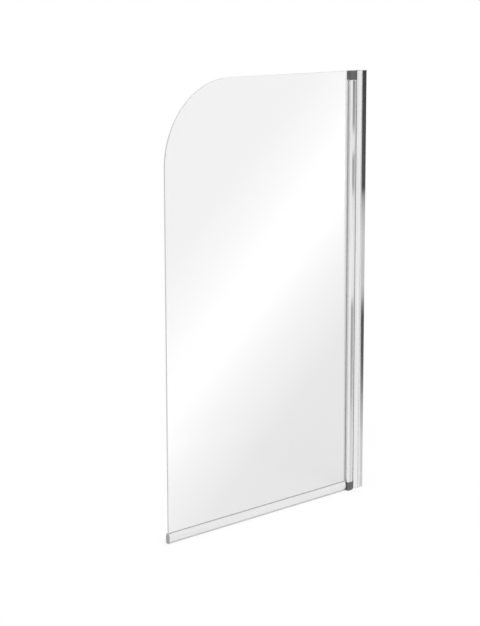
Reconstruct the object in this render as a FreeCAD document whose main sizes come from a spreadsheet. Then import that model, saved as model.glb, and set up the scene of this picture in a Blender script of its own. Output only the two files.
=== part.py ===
import FreeCAD, Part
import math
import os
import re
import Sketcher

# Hinged bath screen: one glass panel with a round top corner, held by an upright tube that turns on
# two pins beside a slim wall profile. Millimetres. The origin is at the foot of the wall profile's
# back face, midway across it: the wall is the plane X = 0, the screen reaches along -X, the side
# that is seen first faces -Y, and +Z is up.
# Distances "from the wall" are written as positive sizes and used as negative X.

SIZES = {
    # the whole screen
    "screen_width": 850.0,            # wall to the outer face of the rail's end cap
    "screen_height": 1400.0,
    "corner_sweep": 260.0,            # radius of the glass's top free corner
    # wall channel, a U extrusion
    "channel_width": 26.0,
    "channel_depth": 20.0,
    "channel_wall": 1.6,
    "channel_web": 2.0,
    "channel_lip": 0.5,               # rounding of the channel's mouth
    "wall_hole_diameter": 5.5,
    "wall_hole_first": 100.0,         # height of the lowest wall screw
    "wall_hole_count": 4.0,
    "plug_height": 8.0,
    "plug_clearance": 0.2,
    "plug_depth": 17.0,
    # post that slides in the channel
    "slide_clearance": 0.2,
    "post_wall": 1.6,
    "post_flange_start": 3.0,         # wall to the post's rear flanges, pushed right in
    "post_web_start": 20.4,
    "post_face": 39.5,                # wall to the post's end face
    "post_face_width": 17.2,
    "post_nose_width": 19.6,
    "post_nose_length": 1.5,
    "post_taper": 1.8,                # least wall where the front face curves in
    "seal_groove_width": 5.0,
    "seal_groove_depth": 2.0,
    "seal_lip": 0.25,
    # adjusting screws through the channel's rear flange
    "adjust_travel": 8.0,
    "adjust_screw_place": 14.5,       # wall to the screw's axis
    "adjust_first": 250.0,            # height of the lowest adjusting screw
    "adjust_count": 3.0,
    "screw_diameter": 4.0,
    "screw_head_diameter": 7.2,
    "screw_head_height": 2.4,
    "screw_length": 8.4,
    "screw_play": 0.1,                # radial room of a screw in its hole or nut
    "recess_width": 2.2,              # across a screw's square drive
    "recess_depth": 1.4,
    "washer_diameter": 8.4,
    "washer_height": 0.8,
    "cap_diameter": 10.4,
    "cap_height": 4.6,
    "cap_wall": 0.9,
    "nut_width": 8.0,
    "nut_height": 14.0,
    "nut_thickness": 3.0,
    # pivot blocks, pins and bushes
    "pivot_place": 54.0,              # wall to the pivot's axis
    "block_height": 28.0,
    "neck_width": 11.6,
    "block_fit": 0.2,
    "pin_diameter": 6.0,
    "pin_seat": 18.0,                 # length of a pin inside its block
    "pin_reach": 13.0,                # length of a pin inside its bush
    "pin_fit": 0.05,                  # radial room of a pin in its bush
    "pin_press": 0.02,                # radial room of a pin in its block
    "pin_bevel": 0.6,
    "washer_thickness": 1.0,
    "end_play": 0.3,
    "thrust_diameter": 18.0,
    "bush_flange": 1.2,
    "bush_inset": 0.4,
    "bush_length": 15.0,
    "block_screw_place": 30.0,        # wall to the block screws' axis
    "block_screw_length": 12.0,
    "countersink_diameter": 7.6,
    "sink_entry": 0.6,
    # tube that holds the glass
    "tube_radius": 14.0,
    "tube_nose": 17.0,                # pivot's axis to the tube's flat side
    "tube_corner": 6.0,
    "tube_wall": 1.6,
    "chamber_radius": 12.2,
    "side_chamber_length": 7.0,
    "side_chamber_width": 5.4,
    "slot_width": 9.0,
    "slot_depth": 11.0,
    "gasket_gap": 0.1,
    "gasket_lip": 1.2,                # how far a glazing gasket stands out of the tube
    "packer_thickness": 1.0,
    "packer_length": 40.0,
    "packer_count": 3.0,
    # glass
    "glass_thickness": 6.0,
    "glass_edge_gap": 1.2,            # slot's floor to the glass's edge
    "notch_clearance": 3.2,           # tube's flat side to the notched edge beside a block
    "notch_rise": 0.6,
    "cap_thickness": 3.0,
    # bottom rail
    "rail_top": 32.0,
    "rail_foot": 6.0,
    "rail_half_width": 7.5,
    "rail_edge_half_width": 5.0,      # half width at the rail's top and foot
    "rail_slot_width": 8.0,
    "rail_slot_depth": 12.8,
    "rail_floor": 1.4,
    "rail_chamber_half_width": 4.4,
    "wiper_slot_half_width": 2.6,
    "wiper_neck_half_width": 1.2,
    "wiper_slot_height": 3.0,
    "wiper_lip_height": 2.0,
    "wiper_blade_half_width": 0.9,
    "wiper_foot_half_width": 3.4,
    "wiper_foot_height": 1.2,
    "rail_cap_foot": 0.8,
    "soft_gap": 0.1,
    "inner_cap_thickness": 2.0,
    "cap_peg_length": 12.0,
    "cap_dome": 1.4,
    "inner_cap_dome": 0.6,
}

doc = FreeCAD.newDocument("bath_screen")
sheet = doc.addObject("Spreadsheet::Sheet", "Sizes")
for row, (name, number) in enumerate(SIZES.items(), start=1):
    sheet.set(f"A{row}", name)
    sheet.set(f"B{row}", str(number))
    sheet.setAlias(f"B{row}", name)
doc.recompute()

PARTS = []


# ---------------------------------------------------------------- ways of making a sub-part

def bound(text):
    """The formula with each size's name pointed at its cell in the sheet."""
    return re.sub(r"[a-z_]+", lambda word: "Sizes." + word[0] if word[0] in SIZES else word[0], text)


def new_body(label):
    body = doc.addObject("PartDesign::Body", label)
    body.Label = label
    PARTS.append(body)
    return body


def value(body, text):
    return float(body.evalExpression(bound(text)))


def origin_feature(body, role):
    return next(feature for feature in body.Origin.OriginFeatures if feature.Role == role)


def fix(drawing, kind, edge, point, text, number):
    """Bind one coordinate of a point in a sketch to a formula on the sheet."""
    index = drawing.addConstraint(Sketcher.Constraint(kind, -1, 1, edge, point, number))
    drawing.setExpression(f"Constraints[{index}]", bound(text))


def blank_sketch(body, name, plane, offset):
    drawing = body.newObject("Sketcher::SketchObject", name)
    drawing.AttachmentSupport = [(origin_feature(body, plane), "")]
    drawing.MapMode = "FlatFace"
    drawing.setExpression("AttachmentOffset.Base.z", bound(offset))
    return drawing


def arc_centre(start, end, coordinate, known):
    """The point level with a known X or Y that lies as far from one end of the arc as from the other."""
    along_x = end[0] - start[0]
    along_y = end[1] - start[1]
    half = (end[0] ** 2 + end[1] ** 2 - start[0] ** 2 - start[1] ** 2) / 2
    if coordinate == "X":
        return known, (half - along_x * known) / along_y
    return (half - along_y * known) / along_x, known


def outline(drawing, corners):
    """One closed outline. A corner is (x, y); or (x, y, coordinate, centre, turn) where the edge that
    leaves it is an arc whose centre has that X or Y, and turn says "left" or "right" along the way."""
    points = [(value(drawing, corner[0]), value(drawing, corner[1])) for corner in corners]
    first = drawing.GeometryCount
    count = len(corners)
    starts = []
    for i, corner in enumerate(corners):
        here = points[i]
        there = points[(i + 1) % count]
        if len(corner) == 2:
            edge = Part.LineSegment(FreeCAD.Vector(*here, 0), FreeCAD.Vector(*there, 0))
            starts.append(1)
        else:
            centre = arc_centre(here, there, corner[2], value(drawing, corner[3]))
            circle = Part.Circle(FreeCAD.Vector(*centre, 0), FreeCAD.Vector(0, 0, 1), math.dist(here, centre))
            ends = [here, there] if corner[4] == "left" else [there, here]
            angles = [math.atan2(end[1] - centre[1], end[0] - centre[0]) for end in ends]
            edge = Part.ArcOfCircle(circle, angles[0], angles[1])
            starts.append(1 if corner[4] == "left" else 2)
        drawing.addGeometry(edge, False)
    for i, corner in enumerate(corners):
        following = (i + 1) % count
        drawing.addConstraint(Sketcher.Constraint(
            "Coincident", first + i, 3 - starts[i], first + following, starts[following]))
        fix(drawing, "DistanceX", first + i, starts[i], corner[0], points[i][0])
        fix(drawing, "DistanceY", first + i, starts[i], corner[1], points[i][1])
        if len(corner) > 2:
            fix(drawing, "Distance" + corner[2], first + i, 3, corner[3], value(drawing, corner[3]))


def sketch(body, name, plane, outlines, offset="0"):
    drawing = blank_sketch(body, name, plane, offset)
    for corners in outlines:
        outline(drawing, corners)
    return drawing


def round_sketch(body, name, plane, circles, offset="0"):
    """Circles given as (x, y, diameter)."""
    drawing = blank_sketch(body, name, plane, offset)
    for x, y, diameter in circles:
        centre = FreeCAD.Vector(value(drawing, x), value(drawing, y), 0)
        edge = drawing.addGeometry(
            Part.Circle(centre, FreeCAD.Vector(0, 0, 1), value(drawing, diameter) / 2), False)
        fix(drawing, "DistanceX", edge, 3, x, centre.x)
        fix(drawing, "DistanceY", edge, 3, y, centre.y)
        index = drawing.addConstraint(Sketcher.Constraint("Diameter", edge, value(drawing, diameter)))
        drawing.setExpression(f"Constraints[{index}]", bound(diameter))
    return drawing


def box(x_low, x_high, y_low, y_high):
    return [(x_low, y_low), (x_high, y_low), (x_high, y_high), (x_low, y_high)]


def pad(body, drawing, length, side="One side", backwards=False):
    feature = body.newObject("PartDesign::Pad", drawing.Name + "_pad")
    feature.Profile = drawing
    feature.setExpression("Length", bound(length))
    feature.SideType = side
    feature.Reversed = backwards
    doc.recompute()
    return feature


def pocket(body, drawing, length=None, backwards=False):
    """Cut a sketch into the body, right through it where no length is given, and see that it cuts."""
    before = body.Shape.Volume
    feature = body.newObject("PartDesign::Pocket", drawing.Name + "_pocket")
    feature.Profile = drawing
    if length is None:
        feature.Type = "ThroughAll"
        feature.SideType = "Symmetric"
    else:
        feature.setExpression("Length", bound(length))
    feature.Reversed = backwards
    doc.recompute()
    if body.Shape.Volume >= before:
        raise RuntimeError(f"{feature.Name} cuts nothing")
    return feature


def revolve(body, drawing):
    feature = body.newObject("PartDesign::Revolution", drawing.Name + "_turned")
    feature.Profile = drawing
    feature.ReferenceAxis = (drawing, ["Axis0"])
    feature.Angle = 360
    doc.recompute()
    return feature


def repeat_upwards(body, features, first, count):
    """Even copies up the screen, from a first height to the same distance below the top."""
    feature = body.newObject("PartDesign::LinearPattern", features[0].Name + "_row")
    feature.Originals = features
    feature.Direction = (origin_feature(body, "Z_Axis"), [""])
    feature.setExpression("Length", bound(f"screen_height - 2 * {first}"))
    feature.setExpression("Occurrences", bound(count))
    body.Tip = feature
    doc.recompute()
    return feature


def mirror_to_top(body, features):
    """The same features at the other end of the screen, mirrored about its mid height."""
    middle = body.newObject("PartDesign::Plane", features[0].Name + "_middle")
    middle.AttachmentSupport = [(origin_feature(body, "XY_Plane"), "")]
    middle.MapMode = "FlatFace"
    middle.setExpression("AttachmentOffset.Base.z", bound("screen_height / 2"))
    doc.recompute()
    feature = body.newObject("PartDesign::Mirrored", features[0].Name + "_mirrored")
    feature.Originals = features
    feature.MirrorPlane = (middle, [""])
    body.Tip = feature
    doc.recompute()
    return feature


def rounding(body, kind, size, wanted):
    """Fillet or chamfer the edges of the body for which wanted(edge) is true."""
    names = [f"Edge{i}" for i, edge in enumerate(body.Shape.Edges, start=1) if wanted(edge)]
    if not names:
        raise RuntimeError(f"{body.Label} has no such edge")
    base = body.Tip
    feature = body.newObject("PartDesign::" + kind, f"{body.Name}_{kind.lower()}")
    feature.Base = (base, names)
    feature.setExpression("Radius" if kind == "Fillet" else "Size", bound(size))
    doc.recompute()
    return feature


def turned_profile(body, name, axis_x, corners, height):
    """A half section on a level plane that turns about a line along Y, with the line drawn first."""
    drawing = blank_sketch(body, name, "XY_Plane", height)
    place = value(drawing, axis_x)
    drawing.addGeometry(
        Part.LineSegment(FreeCAD.Vector(place, 0, 0), FreeCAD.Vector(place, 1, 0)), True)
    fix(drawing, "DistanceX", 0, 1, axis_x, place)
    fix(drawing, "DistanceY", 0, 1, "0", 0.0)
    fix(drawing, "DistanceX", 0, 2, axis_x, place)
    fix(drawing, "DistanceY", 0, 2, "1", 1.0)
    outline(drawing, corners)
    return drawing


# ---------------------------------------------------------------- places that pieces share

POST_HALF = "(channel_width / 2 - channel_wall - slide_clearance)"
POST_BORE = f"({POST_HALF} - post_wall)"
BOX_START = "(post_web_start + post_wall)"
BOX_END = "(post_face - seal_groove_depth - post_wall)"
BOX_HALF = "(post_nose_width / 2 - post_taper)"
TUBE_SIDE = "(pivot_place + tube_nose)"
SLOT_FLOOR = f"({TUBE_SIDE} - slot_depth)"
CHAMBER_END = f"({SLOT_FLOOR} - tube_wall)"
CHAMBER_CUT = f"({CHAMBER_END} - pivot_place)"
LOWER_BUSH = "(block_height + washer_thickness)"
UPPER_BUSH = "(screen_height - block_height - washer_thickness - end_play)"
TUBE_FOOT = f"({LOWER_BUSH} + bush_flange)"
TUBE_TOP = f"({UPPER_BUSH} - bush_flange)"
GLASS_INNER = f"({SLOT_FLOOR} + glass_edge_gap)"
GLASS_NOTCH = f"({TUBE_SIDE} + notch_clearance)"
GLASS_OUTER = "(screen_width - cap_thickness)"
RAIL_SLOT_FLOOR = "(rail_top - rail_slot_depth)"
GLASS_FOOT = f"({RAIL_SLOT_FLOOR} + glass_edge_gap)"
GLASS_STEP = f"(max(rail_top; {TUBE_FOOT}) + notch_rise)"
RAIL_INNER = f"({GLASS_NOTCH} + inner_cap_thickness)"
FLANGE_FACE = "(channel_width / 2)"
NUT_FACE = f"({POST_BORE} - screw_play)"
RAIL_LENGTH = f"{GLASS_OUTER} - {RAIL_INNER}"
WIPER_SLOT_FOOT = "(rail_foot + wiper_lip_height)"
WIPER_SLOT_TOP = f"({WIPER_SLOT_FOOT} + wiper_slot_height)"
PEG_FOOT = f"({WIPER_SLOT_TOP} + rail_floor)"
PEG_TOP = f"({RAIL_SLOT_FLOOR} - rail_floor)"

# The post's long faces run level at the channel's mouth and curve in to its nose. REAR_FACE is the
# height of that arc above the middle plane where the block screws enter it.
ARC_RUN = "(post_face - post_nose_length - channel_depth)"
ARC_DROP = f"({POST_HALF} - post_nose_width / 2)"
ARC_RADIUS = f"(({ARC_RUN} * {ARC_RUN} + {ARC_DROP} * {ARC_DROP}) / (2 * {ARC_DROP}))"
SCREW_RUN = "(block_screw_place - channel_depth)"
REAR_FACE = (f"({POST_HALF} - {ARC_RADIUS}"
             f" + sqrt({ARC_RADIUS} * {ARC_RADIUS} - {SCREW_RUN} * {SCREW_RUN}))")
SINK_DEPTH = "((countersink_diameter - screw_diameter) / 2)"


def tube_outline(inset="0"):
    """Section of the tube and of the blocks: half a circle about the pivot's axis towards the post,
    then two flat sides and a flat end with round corners away from the wall."""
    radius = f"(tube_radius - {inset})"
    corner = f"(tube_corner - {inset})"
    side = f"({TUBE_SIDE} - {inset})"
    return [
        ("-pivot_place", "-" + radius, "X", "-pivot_place", "left"),
        ("-pivot_place", radius),
        (f"{corner} - {side}", radius, "X", f"{corner} - {side}", "left"),
        (f"-{side}", f"{radius} - {corner}"),
        (f"-{side}", f"{corner} - {radius}", "X", f"{corner} - {side}", "left"),
        (f"{corner} - {side}", "-" + radius),
    ]


def chamber_outline(inset="0"):
    """Section of the tube's main chamber: a circle about the pivot's axis, cut flat before the slot."""
    radius = f"(chamber_radius - {inset})"
    cut = f"({CHAMBER_CUT} - {inset})"
    half = f"sqrt({radius} * {radius} - {cut} * {cut})"
    flat = f"-pivot_place - {cut}"
    return [
        (flat, "-" + half, "X", "-pivot_place", "left"),
        (flat, half),
    ]


# ---------------------------------------------------------------- pieces fixed to the wall

def wall_channel():
    body = new_body("wall_channel")
    half = "channel_width / 2"
    section = sketch(body, "channel_section", "XY_Plane", [[
        ("0", f"-{half}"),
        ("0", half),
        ("-channel_depth", half),
        ("-channel_depth", f"{half} - channel_wall"),
        ("-channel_web", f"{half} - channel_wall"),
        ("-channel_web", f"channel_wall - {half}"),
        ("-channel_depth", f"channel_wall - {half}"),
        ("-channel_depth", f"-{half}"),
    ]])
    pad(body, section, "screen_height")
    mouth = value(body, "-channel_depth")
    outer = value(body, half)
    rounding(body, "Fillet", "channel_lip", lambda edge: (
        abs(edge.CenterOfMass.x - mouth) < 0.01
        and abs(abs(edge.CenterOfMass.y) - outer) < 0.01
        and edge.BoundBox.ZLength > outer))
    hole = round_sketch(body, "wall_hole", "YZ_Plane", [("0", "wall_hole_first", "wall_hole_diameter")])
    repeat_upwards(body, [pocket(body, hole)], "wall_hole_first", "wall_hole_count")
    screw_hole = round_sketch(
        body, "adjusting_hole", "XZ_Plane",
        [("-adjust_screw_place", "adjust_first", "screw_diameter + 2 * screw_play")],
        f"-{FLANGE_FACE} - screw_play")
    cut = pocket(body, screw_hole, "channel_wall + 2 * screw_play", backwards=True)
    repeat_upwards(body, [cut], "adjust_first", "adjust_count")


def channel_plug(label, foot):
    """Block that closes one end of the channel, between the post's rear flanges."""
    body = new_body(label)
    half = f"({POST_BORE} - plug_clearance)"
    section = sketch(body, label + "_section", "XY_Plane",
                     [box("-plug_depth", "-channel_web", f"-{half}", half)], foot)
    pad(body, section, "plug_height")


def adjusting_screws():
    body = new_body("adjusting_screws")
    under = f"({FLANGE_FACE} + washer_height)"
    section = turned_profile(body, "screw_section", "-adjust_screw_place", [
        ("-adjust_screw_place", f"{under} - screw_length"),
        ("-adjust_screw_place + screw_diameter / 2", f"{under} - screw_length"),
        ("-adjust_screw_place + screw_diameter / 2", under),
        ("-adjust_screw_place + screw_head_diameter / 2", under),
        ("-adjust_screw_place + screw_head_diameter / 2 - screw_head_height / 3",
         f"{under} + screw_head_height"),
        ("-adjust_screw_place", f"{under} + screw_head_height"),
    ], "adjust_first")
    screw = revolve(body, section)
    drive = sketch(body, "drive_section", "XZ_Plane", [box(
        "-adjust_screw_place - recess_width / 2", "-adjust_screw_place + recess_width / 2",
        "adjust_first - recess_width / 2", "adjust_first + recess_width / 2",
    )], f"-{under} - screw_head_height")
    recess = pocket(body, drive, "recess_depth", backwards=True)
    repeat_upwards(body, [screw, recess], "adjust_first", "adjust_count")


def cap_washers():
    body = new_body("cap_washers")
    ring = round_sketch(body, "washer_section", "XZ_Plane", [
        ("-adjust_screw_place", "adjust_first", "washer_diameter"),
        ("-adjust_screw_place", "adjust_first", "screw_diameter + 2 * screw_play"),
    ], f"-{FLANGE_FACE}")
    repeat_upwards(body, [pad(body, ring, "washer_height", backwards=True)], "adjust_first", "adjust_count")


def screw_cover_caps():
    """Domed cups that snap over the washers and hide the screw heads."""
    body = new_body("screw_cover_caps")
    rim = "-adjust_screw_place + cap_diameter / 2"
    shoulder = "cap_height / 3"
    section = turned_profile(body, "cap_section", "-adjust_screw_place", [
        ("-adjust_screw_place", f"{FLANGE_FACE} + cap_height - cap_wall"),
        (f"{rim} - cap_wall - {shoulder}", f"{FLANGE_FACE} + cap_height - cap_wall"),
        (f"{rim} - cap_wall", f"{FLANGE_FACE} + cap_height - {shoulder}"),
        (f"{rim} - cap_wall", FLANGE_FACE),
        (rim, FLANGE_FACE),
        (rim, f"{FLANGE_FACE} + cap_height - {shoulder}", "X", f"{rim} - {shoulder}", "left"),
        (f"{rim} - {shoulder}", f"{FLANGE_FACE} + cap_height"),
        ("-adjust_screw_place", f"{FLANGE_FACE} + cap_height"),
    ], "adjust_first")
    repeat_upwards(body, [revolve(body, section)], "adjust_first", "adjust_count")


def clamp_nuts():
    """Flat nuts behind the post's rear flange, each drawn against it by an adjusting screw."""
    body = new_body("clamp_nuts")
    block = sketch(body, "nut_section", "XZ_Plane", [box(
        "-adjust_screw_place - nut_width / 2", "-adjust_screw_place + nut_width / 2",
        "adjust_first - nut_height / 2", "adjust_first + nut_height / 2",
    )], f"-{NUT_FACE}")
    nut = pad(body, block, "nut_thickness")
    bore = round_sketch(body, "nut_bore", "XZ_Plane",
                        [("-adjust_screw_place", "adjust_first", "screw_diameter + screw_play")])
    repeat_upwards(body, [nut, pocket(body, bore)], "adjust_first", "adjust_count")


# ---------------------------------------------------------------- post and pivot

def pivot_post():
    body = new_body("pivot_post")
    nose = "post_nose_width / 2"
    nose_start = "post_nose_length - post_face"
    section = sketch(body, "post_section", "XY_Plane", [
        [
            ("-post_flange_start", f"-{POST_HALF}"),
            ("-post_flange_start", f"-{POST_BORE}"),
            ("-post_web_start", f"-{POST_BORE}"),
            ("-post_web_start", POST_BORE),
            ("-post_flange_start", POST_BORE),
            ("-post_flange_start", POST_HALF),
            ("-channel_depth", POST_HALF, "X", "-channel_depth", "left"),
            (nose_start, nose),
            ("-post_face", "post_face_width / 2"),
            ("-post_face", "seal_groove_width / 2"),
            ("seal_groove_depth - post_face", "seal_groove_width / 2"),
            ("seal_groove_depth - post_face", "-seal_groove_width / 2"),
            ("-post_face", "-seal_groove_width / 2"),
            ("-post_face", "-post_face_width / 2"),
            (nose_start, f"-{nose}", "X", "-channel_depth", "left"),
            ("-channel_depth", f"-{POST_HALF}"),
        ],
        box(f"-{BOX_END}", f"-{BOX_START}", f"-{BOX_HALF}", BOX_HALF),
    ])
    pad(body, section, "screen_height")
    slot_end = "-adjust_screw_place"
    slot_start = "-adjust_screw_place + adjust_travel"
    slot_half = "(screw_diameter / 2 + 2 * screw_play)"
    slot = sketch(body, "adjusting_slot", "XZ_Plane", [[
        (slot_start, f"adjust_first + {slot_half}"),
        (slot_end, f"adjust_first + {slot_half}", "X", slot_end, "left"),
        (slot_end, f"adjust_first - {slot_half}"),
        (slot_start, f"adjust_first - {slot_half}", "X", slot_start, "left"),
    ]], f"-{POST_HALF} - screw_play")
    slot_cut = pocket(body, slot, "post_wall + 2 * screw_play", backwards=True)
    repeat_upwards(body, [slot_cut], "adjust_first", "adjust_count")
    neck_slot = sketch(body, "neck_slot", "XY_Plane", [box(
        "-post_face - block_fit", f"-{BOX_END} + block_fit",
        "-neck_width / 2 - block_fit", "neck_width / 2 + block_fit")])
    neck_cut = pocket(body, neck_slot, "block_height + block_fit", backwards=True)
    screw_hole = round_sketch(
        body, "block_screw_hole", "XZ_Plane",
        [("-block_screw_place", "block_height / 2", "screw_diameter + 2 * screw_play")], f"-{POST_HALF}")
    hole_cut = pocket(body, screw_hole, "2 * post_wall + post_taper", backwards=True)
    cone = turned_profile(body, "countersink", "-block_screw_place", countersink_corners(REAR_FACE),
                          "block_height / 2")
    sink = body.newObject("PartDesign::Groove", "countersink_cut")
    sink.Profile = cone
    sink.ReferenceAxis = (cone, ["Axis0"])
    sink.Angle = 360
    doc.recompute()
    mirror_to_top(body, [neck_cut, hole_cut, sink])


def countersink_corners(face):
    """Half section of a 90-degree countersink whose wide end lies on the face, and goes on past it."""
    return [
        ("-block_screw_place", f"{face} + sink_entry"),
        ("-block_screw_place + countersink_diameter / 2", f"{face} + sink_entry"),
        ("-block_screw_place + countersink_diameter / 2", face),
        ("-block_screw_place + screw_diameter / 2", f"{face} - {SINK_DEPTH}"),
        ("-block_screw_place", f"{face} - {SINK_DEPTH}"),
    ]


def pivot_block(label, at_top):
    """Fixed block with the tube's outline. Its neck passes through the post's end wall, and its tail
    fills the post's chamber. A pin stands in its bore."""
    body = new_body(label)
    foot = "screen_height - block_height" if at_top else "0"
    bore_foot = "screen_height - block_height" if at_top else "block_height - pin_seat"
    head = sketch(body, label + "_outline", "XY_Plane", [tube_outline()], foot)
    pad(body, head, "block_height")
    neck = sketch(body, label + "_neck", "XY_Plane", [box(
        "-pivot_place + tube_radius / 2", f"-{BOX_END} + 2 * block_fit",
        "-neck_width / 2", "neck_width / 2")], foot)
    pad(body, neck, "block_height")
    tail_half = f"({BOX_HALF} - block_fit)"
    tail = sketch(body, label + "_tail", "XY_Plane", [box(
        f"-{BOX_END} + block_fit", f"-{BOX_START} - block_fit", f"-{tail_half}", tail_half)], foot)
    pad(body, tail, "block_height")
    bore = round_sketch(body, label + "_bore", "XY_Plane",
                        [("-pivot_place", "0", "pin_diameter + 2 * pin_press")], bore_foot)
    pocket(body, bore, "pin_seat", backwards=True)
    height = "screen_height - block_height / 2" if at_top else "block_height / 2"
    screw = round_sketch(
        body, label + "_screw_hole", "XZ_Plane",
        [("-block_screw_place", height, "screw_diameter + screw_play")], f"-{POST_HALF}")
    pocket(body, screw, "block_screw_length + screw_play + post_wall", backwards=True)


def pivot_pin(label, foot):
    body = new_body(label)
    rod = round_sketch(body, label + "_round", "XY_Plane", [("-pivot_place", "0", "pin_diameter")], foot)
    pad(body, rod, "pin_seat + washer_thickness + end_play + pin_reach")
    rounding(body, "Chamfer", "pin_bevel", lambda edge: edge.BoundBox.ZLength < 0.01)


def block_screws():
    body = new_body("block_screws")
    top = f"({REAR_FACE} - screw_play)"
    rim = "-block_screw_place + countersink_diameter / 2 - 2 * screw_play"
    section = turned_profile(body, "block_screw_section", "-block_screw_place", [
        ("-block_screw_place", f"{top} - block_screw_length"),
        ("-block_screw_place + screw_diameter / 2", f"{top} - block_screw_length"),
        ("-block_screw_place + screw_diameter / 2", f"{REAR_FACE} - {SINK_DEPTH}"),
        (rim, f"{REAR_FACE} - 2 * screw_play"),
        (rim, top),
        ("-block_screw_place", top),
    ], "block_height / 2")
    screw = revolve(body, section)
    drive = sketch(body, "block_screw_drive", "XZ_Plane", [box(
        "-block_screw_place - recess_width / 2", "-block_screw_place + recess_width / 2",
        "block_height / 2 - recess_width / 2", "block_height / 2 + recess_width / 2",
    )], f"-{top}")
    mirror_to_top(body, [screw, pocket(body, drive, "recess_depth", backwards=True)])


def thrust_washers():
    """Slip rings between each block and the flange of the bush that faces it."""
    body = new_body("thrust_washers")
    circles = [
        ("-pivot_place", "0", "thrust_diameter"),
        ("-pivot_place", "0", "pin_diameter + 4 * pin_fit"),
    ]
    pad(body, round_sketch(body, "lower_ring", "XY_Plane", circles, "block_height"), "washer_thickness")
    pad(body, round_sketch(body, "upper_ring", "XY_Plane", circles, UPPER_BUSH), "washer_thickness")


def post_seal():
    """Soft strip in the groove of the post's end face, just clear of the tube."""
    body = new_body("post_seal")
    half = "(seal_groove_width / 2 - soft_gap)"
    section = sketch(body, "post_seal_section", "XY_Plane", [box(
        "-post_face - seal_lip", "seal_groove_depth - post_face - soft_gap", f"-{half}", half,
    )], f"{LOWER_BUSH}")
    pad(body, section, f"{UPPER_BUSH} - {LOWER_BUSH}")


# ---------------------------------------------------------------- swinging panel

def glazing_tube():
    """Extrusion with a round back, a chamber for the bushes, a slot for the glass and a hollow each
    side of the slot."""
    body = new_body("glazing_tube")
    shell = tube_outline()
    slot = [
        (f"-{TUBE_SIDE}", "slot_width / 2"),
        (f"-{SLOT_FLOOR}", "slot_width / 2"),
        (f"-{SLOT_FLOOR}", "-slot_width / 2"),
        (f"-{TUBE_SIDE}", "-slot_width / 2"),
    ]
    near = f"-{SLOT_FLOOR}"
    far = f"-{SLOT_FLOOR} - side_chamber_length"
    low = "slot_width / 2 + tube_wall"
    high = "slot_width / 2 + tube_wall + side_chamber_width"
    section = sketch(body, "tube_section", "XY_Plane", [
        shell[:4] + slot + shell[4:],
        chamber_outline(),
        box(far, near, low, high),
        box(far, near, f"-({high})", f"-({low})"),
    ], TUBE_FOOT)
    pad(body, section, f"{TUBE_TOP} - {TUBE_FOOT}")


def bush(label, at_top):
    """Plastic plug in the end of the tube's chamber, with a thin flange over the tube's end."""
    body = new_body(label)
    flange_foot = TUBE_TOP if at_top else LOWER_BUSH
    plug_foot = f"({TUBE_TOP} - bush_length)" if at_top else TUBE_FOOT
    flange = sketch(body, label + "_flange", "XY_Plane", [tube_outline("bush_inset")], flange_foot)
    pad(body, flange, "bush_flange")
    plug = sketch(body, label + "_plug", "XY_Plane", [chamber_outline("soft_gap")], plug_foot)
    pad(body, plug, "bush_length")
    bore = round_sketch(body, label + "_bore", "XY_Plane",
                        [("-pivot_place", "0", "pin_diameter + 2 * pin_fit")], plug_foot)
    pocket(body, bore)


def glass_pane():
    """Flat pane with a round top free corner. It is cut back at both corners beside the pivot, so that
    it passes the fixed blocks when it turns."""
    body = new_body("glass_pane")
    notch_high = f"{TUBE_TOP} - notch_rise"
    section = sketch(body, "pane_outline", "XZ_Plane", [[
        (f"-{GLASS_INNER}", GLASS_STEP),
        (f"-{GLASS_INNER}", notch_high),
        (f"-{GLASS_NOTCH}", notch_high),
        (f"-{GLASS_NOTCH}", "screen_height"),
        (f"corner_sweep - {GLASS_OUTER}", "screen_height", "X", f"corner_sweep - {GLASS_OUTER}", "left"),
        (f"-{GLASS_OUTER}", "screen_height - corner_sweep"),
        (f"-{GLASS_OUTER}", GLASS_FOOT),
        (f"-{RAIL_INNER}", GLASS_FOOT),
        (f"-{RAIL_INNER}", GLASS_STEP),
    ]])
    pad(body, section, "glass_thickness", side="Symmetric")


def glazing_gasket(label, side):
    """Soft strip between the glass and one wall of the tube's slot, with a lip that shows. side is -1
    for the front and 1 for the rear."""
    body = new_body(label)
    inner = "(glass_thickness / 2 + gasket_gap)"
    outer = "(slot_width / 2 - gasket_gap)"
    lip = "(slot_width / 2 + gasket_lip)"
    corners = [
        (f"-{GLASS_INNER}", f"{side} * {inner}"),
        (f"-{GLASS_INNER}", f"{side} * {outer}"),
        (f"-{TUBE_SIDE} - soft_gap", f"{side} * {outer}"),
        (f"-{TUBE_SIDE} - soft_gap", f"{side} * {lip}"),
        (f"-{TUBE_SIDE} - soft_gap - gasket_lip", f"{side} * {inner}"),
    ]
    section = sketch(body, label + "_section", "XY_Plane", [corners], TUBE_FOOT)
    pad(body, section, f"{TUBE_TOP} - {TUBE_FOOT}")


def glass_packers():
    """Flat packers between the glass's edge and the slot's floor."""
    body = new_body("glass_packers")
    half = "(slot_width / 2 - 4 * gasket_gap)"
    first = f"({TUBE_FOOT} + packer_length)"
    section = sketch(body, "packer_section", "XY_Plane", [box(
        f"-{SLOT_FLOOR} - packer_thickness", f"-{SLOT_FLOOR}", f"-{half}", half)], first)
    packer = pad(body, section, "packer_length")
    repeat_upwards(body, [packer], f"({first} + packer_length / 2)", "packer_count")


# ---------------------------------------------------------------- bottom rail

def oval(foot):
    """Section across the rail: level foot and top, and two sides that bulge as equal arcs."""
    rise = f"((rail_top - {foot}) / 2)"
    bulge = "(rail_half_width - rail_edge_half_width)"
    centre = f"(rail_half_width - ({rise} * {rise} + {bulge} * {bulge}) / (2 * {bulge}))"
    return [
        ("-rail_edge_half_width", foot),
        ("rail_edge_half_width", foot, "X", centre, "left"),
        ("rail_edge_half_width", "rail_top"),
        ("-rail_edge_half_width", "rail_top", "X", f"-{centre}", "left"),
    ]


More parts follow.
